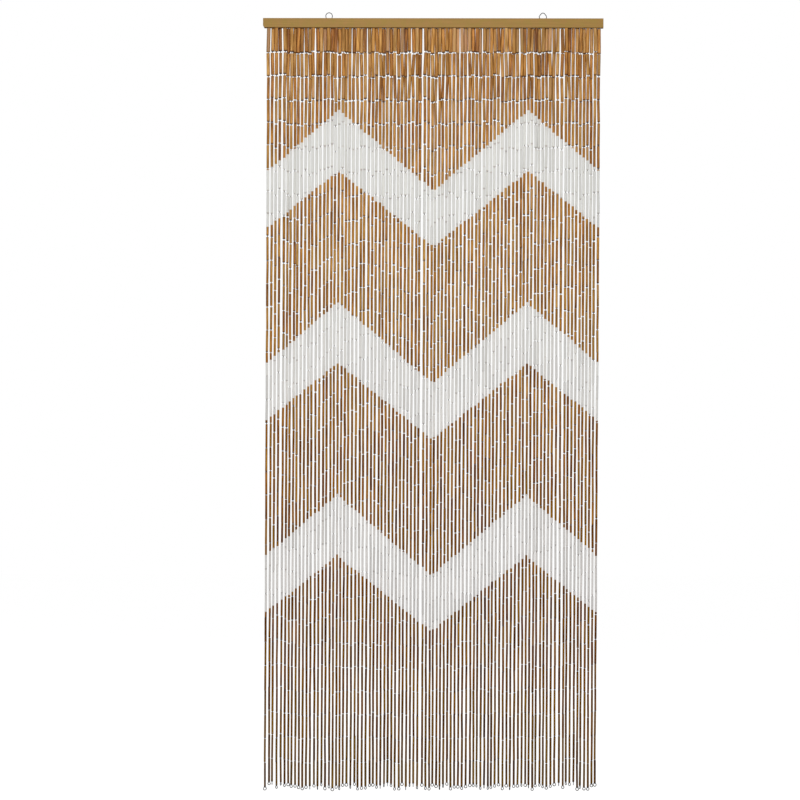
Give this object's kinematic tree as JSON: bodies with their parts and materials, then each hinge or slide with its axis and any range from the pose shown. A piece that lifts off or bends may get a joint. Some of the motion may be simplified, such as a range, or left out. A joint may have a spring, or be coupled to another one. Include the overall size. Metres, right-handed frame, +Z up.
{
  "type": "bamboo bead door curtain with hanging rail",
  "caption": "Flat door curtain of linked bamboo tubes on wire strands, hung from a painted wooden rail with two wire hanging loops, with painted white zigzag bands.",
  "frame": {"origin": "Midway along the rail, at the height where a hook bears inside the two hanging loops.", "axes": "+Z is up, along the strands. +Y points to the back, towards what the curtain hangs on. +X is to the right, seen from the front."},
  "size_m": [0.89, 0.0174, 2.0377],
  "materials": {
    "rail_paint": "olive gold paint on wood, satin",
    "bamboo": "varnished bamboo tube, tan to red brown, with zigzag bands of matt white paint",
    "wire": "plain grey steel wire"
  },
  "bodies": {
    "root": {"rail": "rail_paint", "hanging_loop_left": "wire", "hanging_loop_right": "wire", "strands_1": "bamboo", "strands_2": "bamboo", "strands_3": "bamboo", "strands_4": "bamboo", "strands_5": "bamboo", "strands_6": "bamboo"}
  },
  "joints": []
}
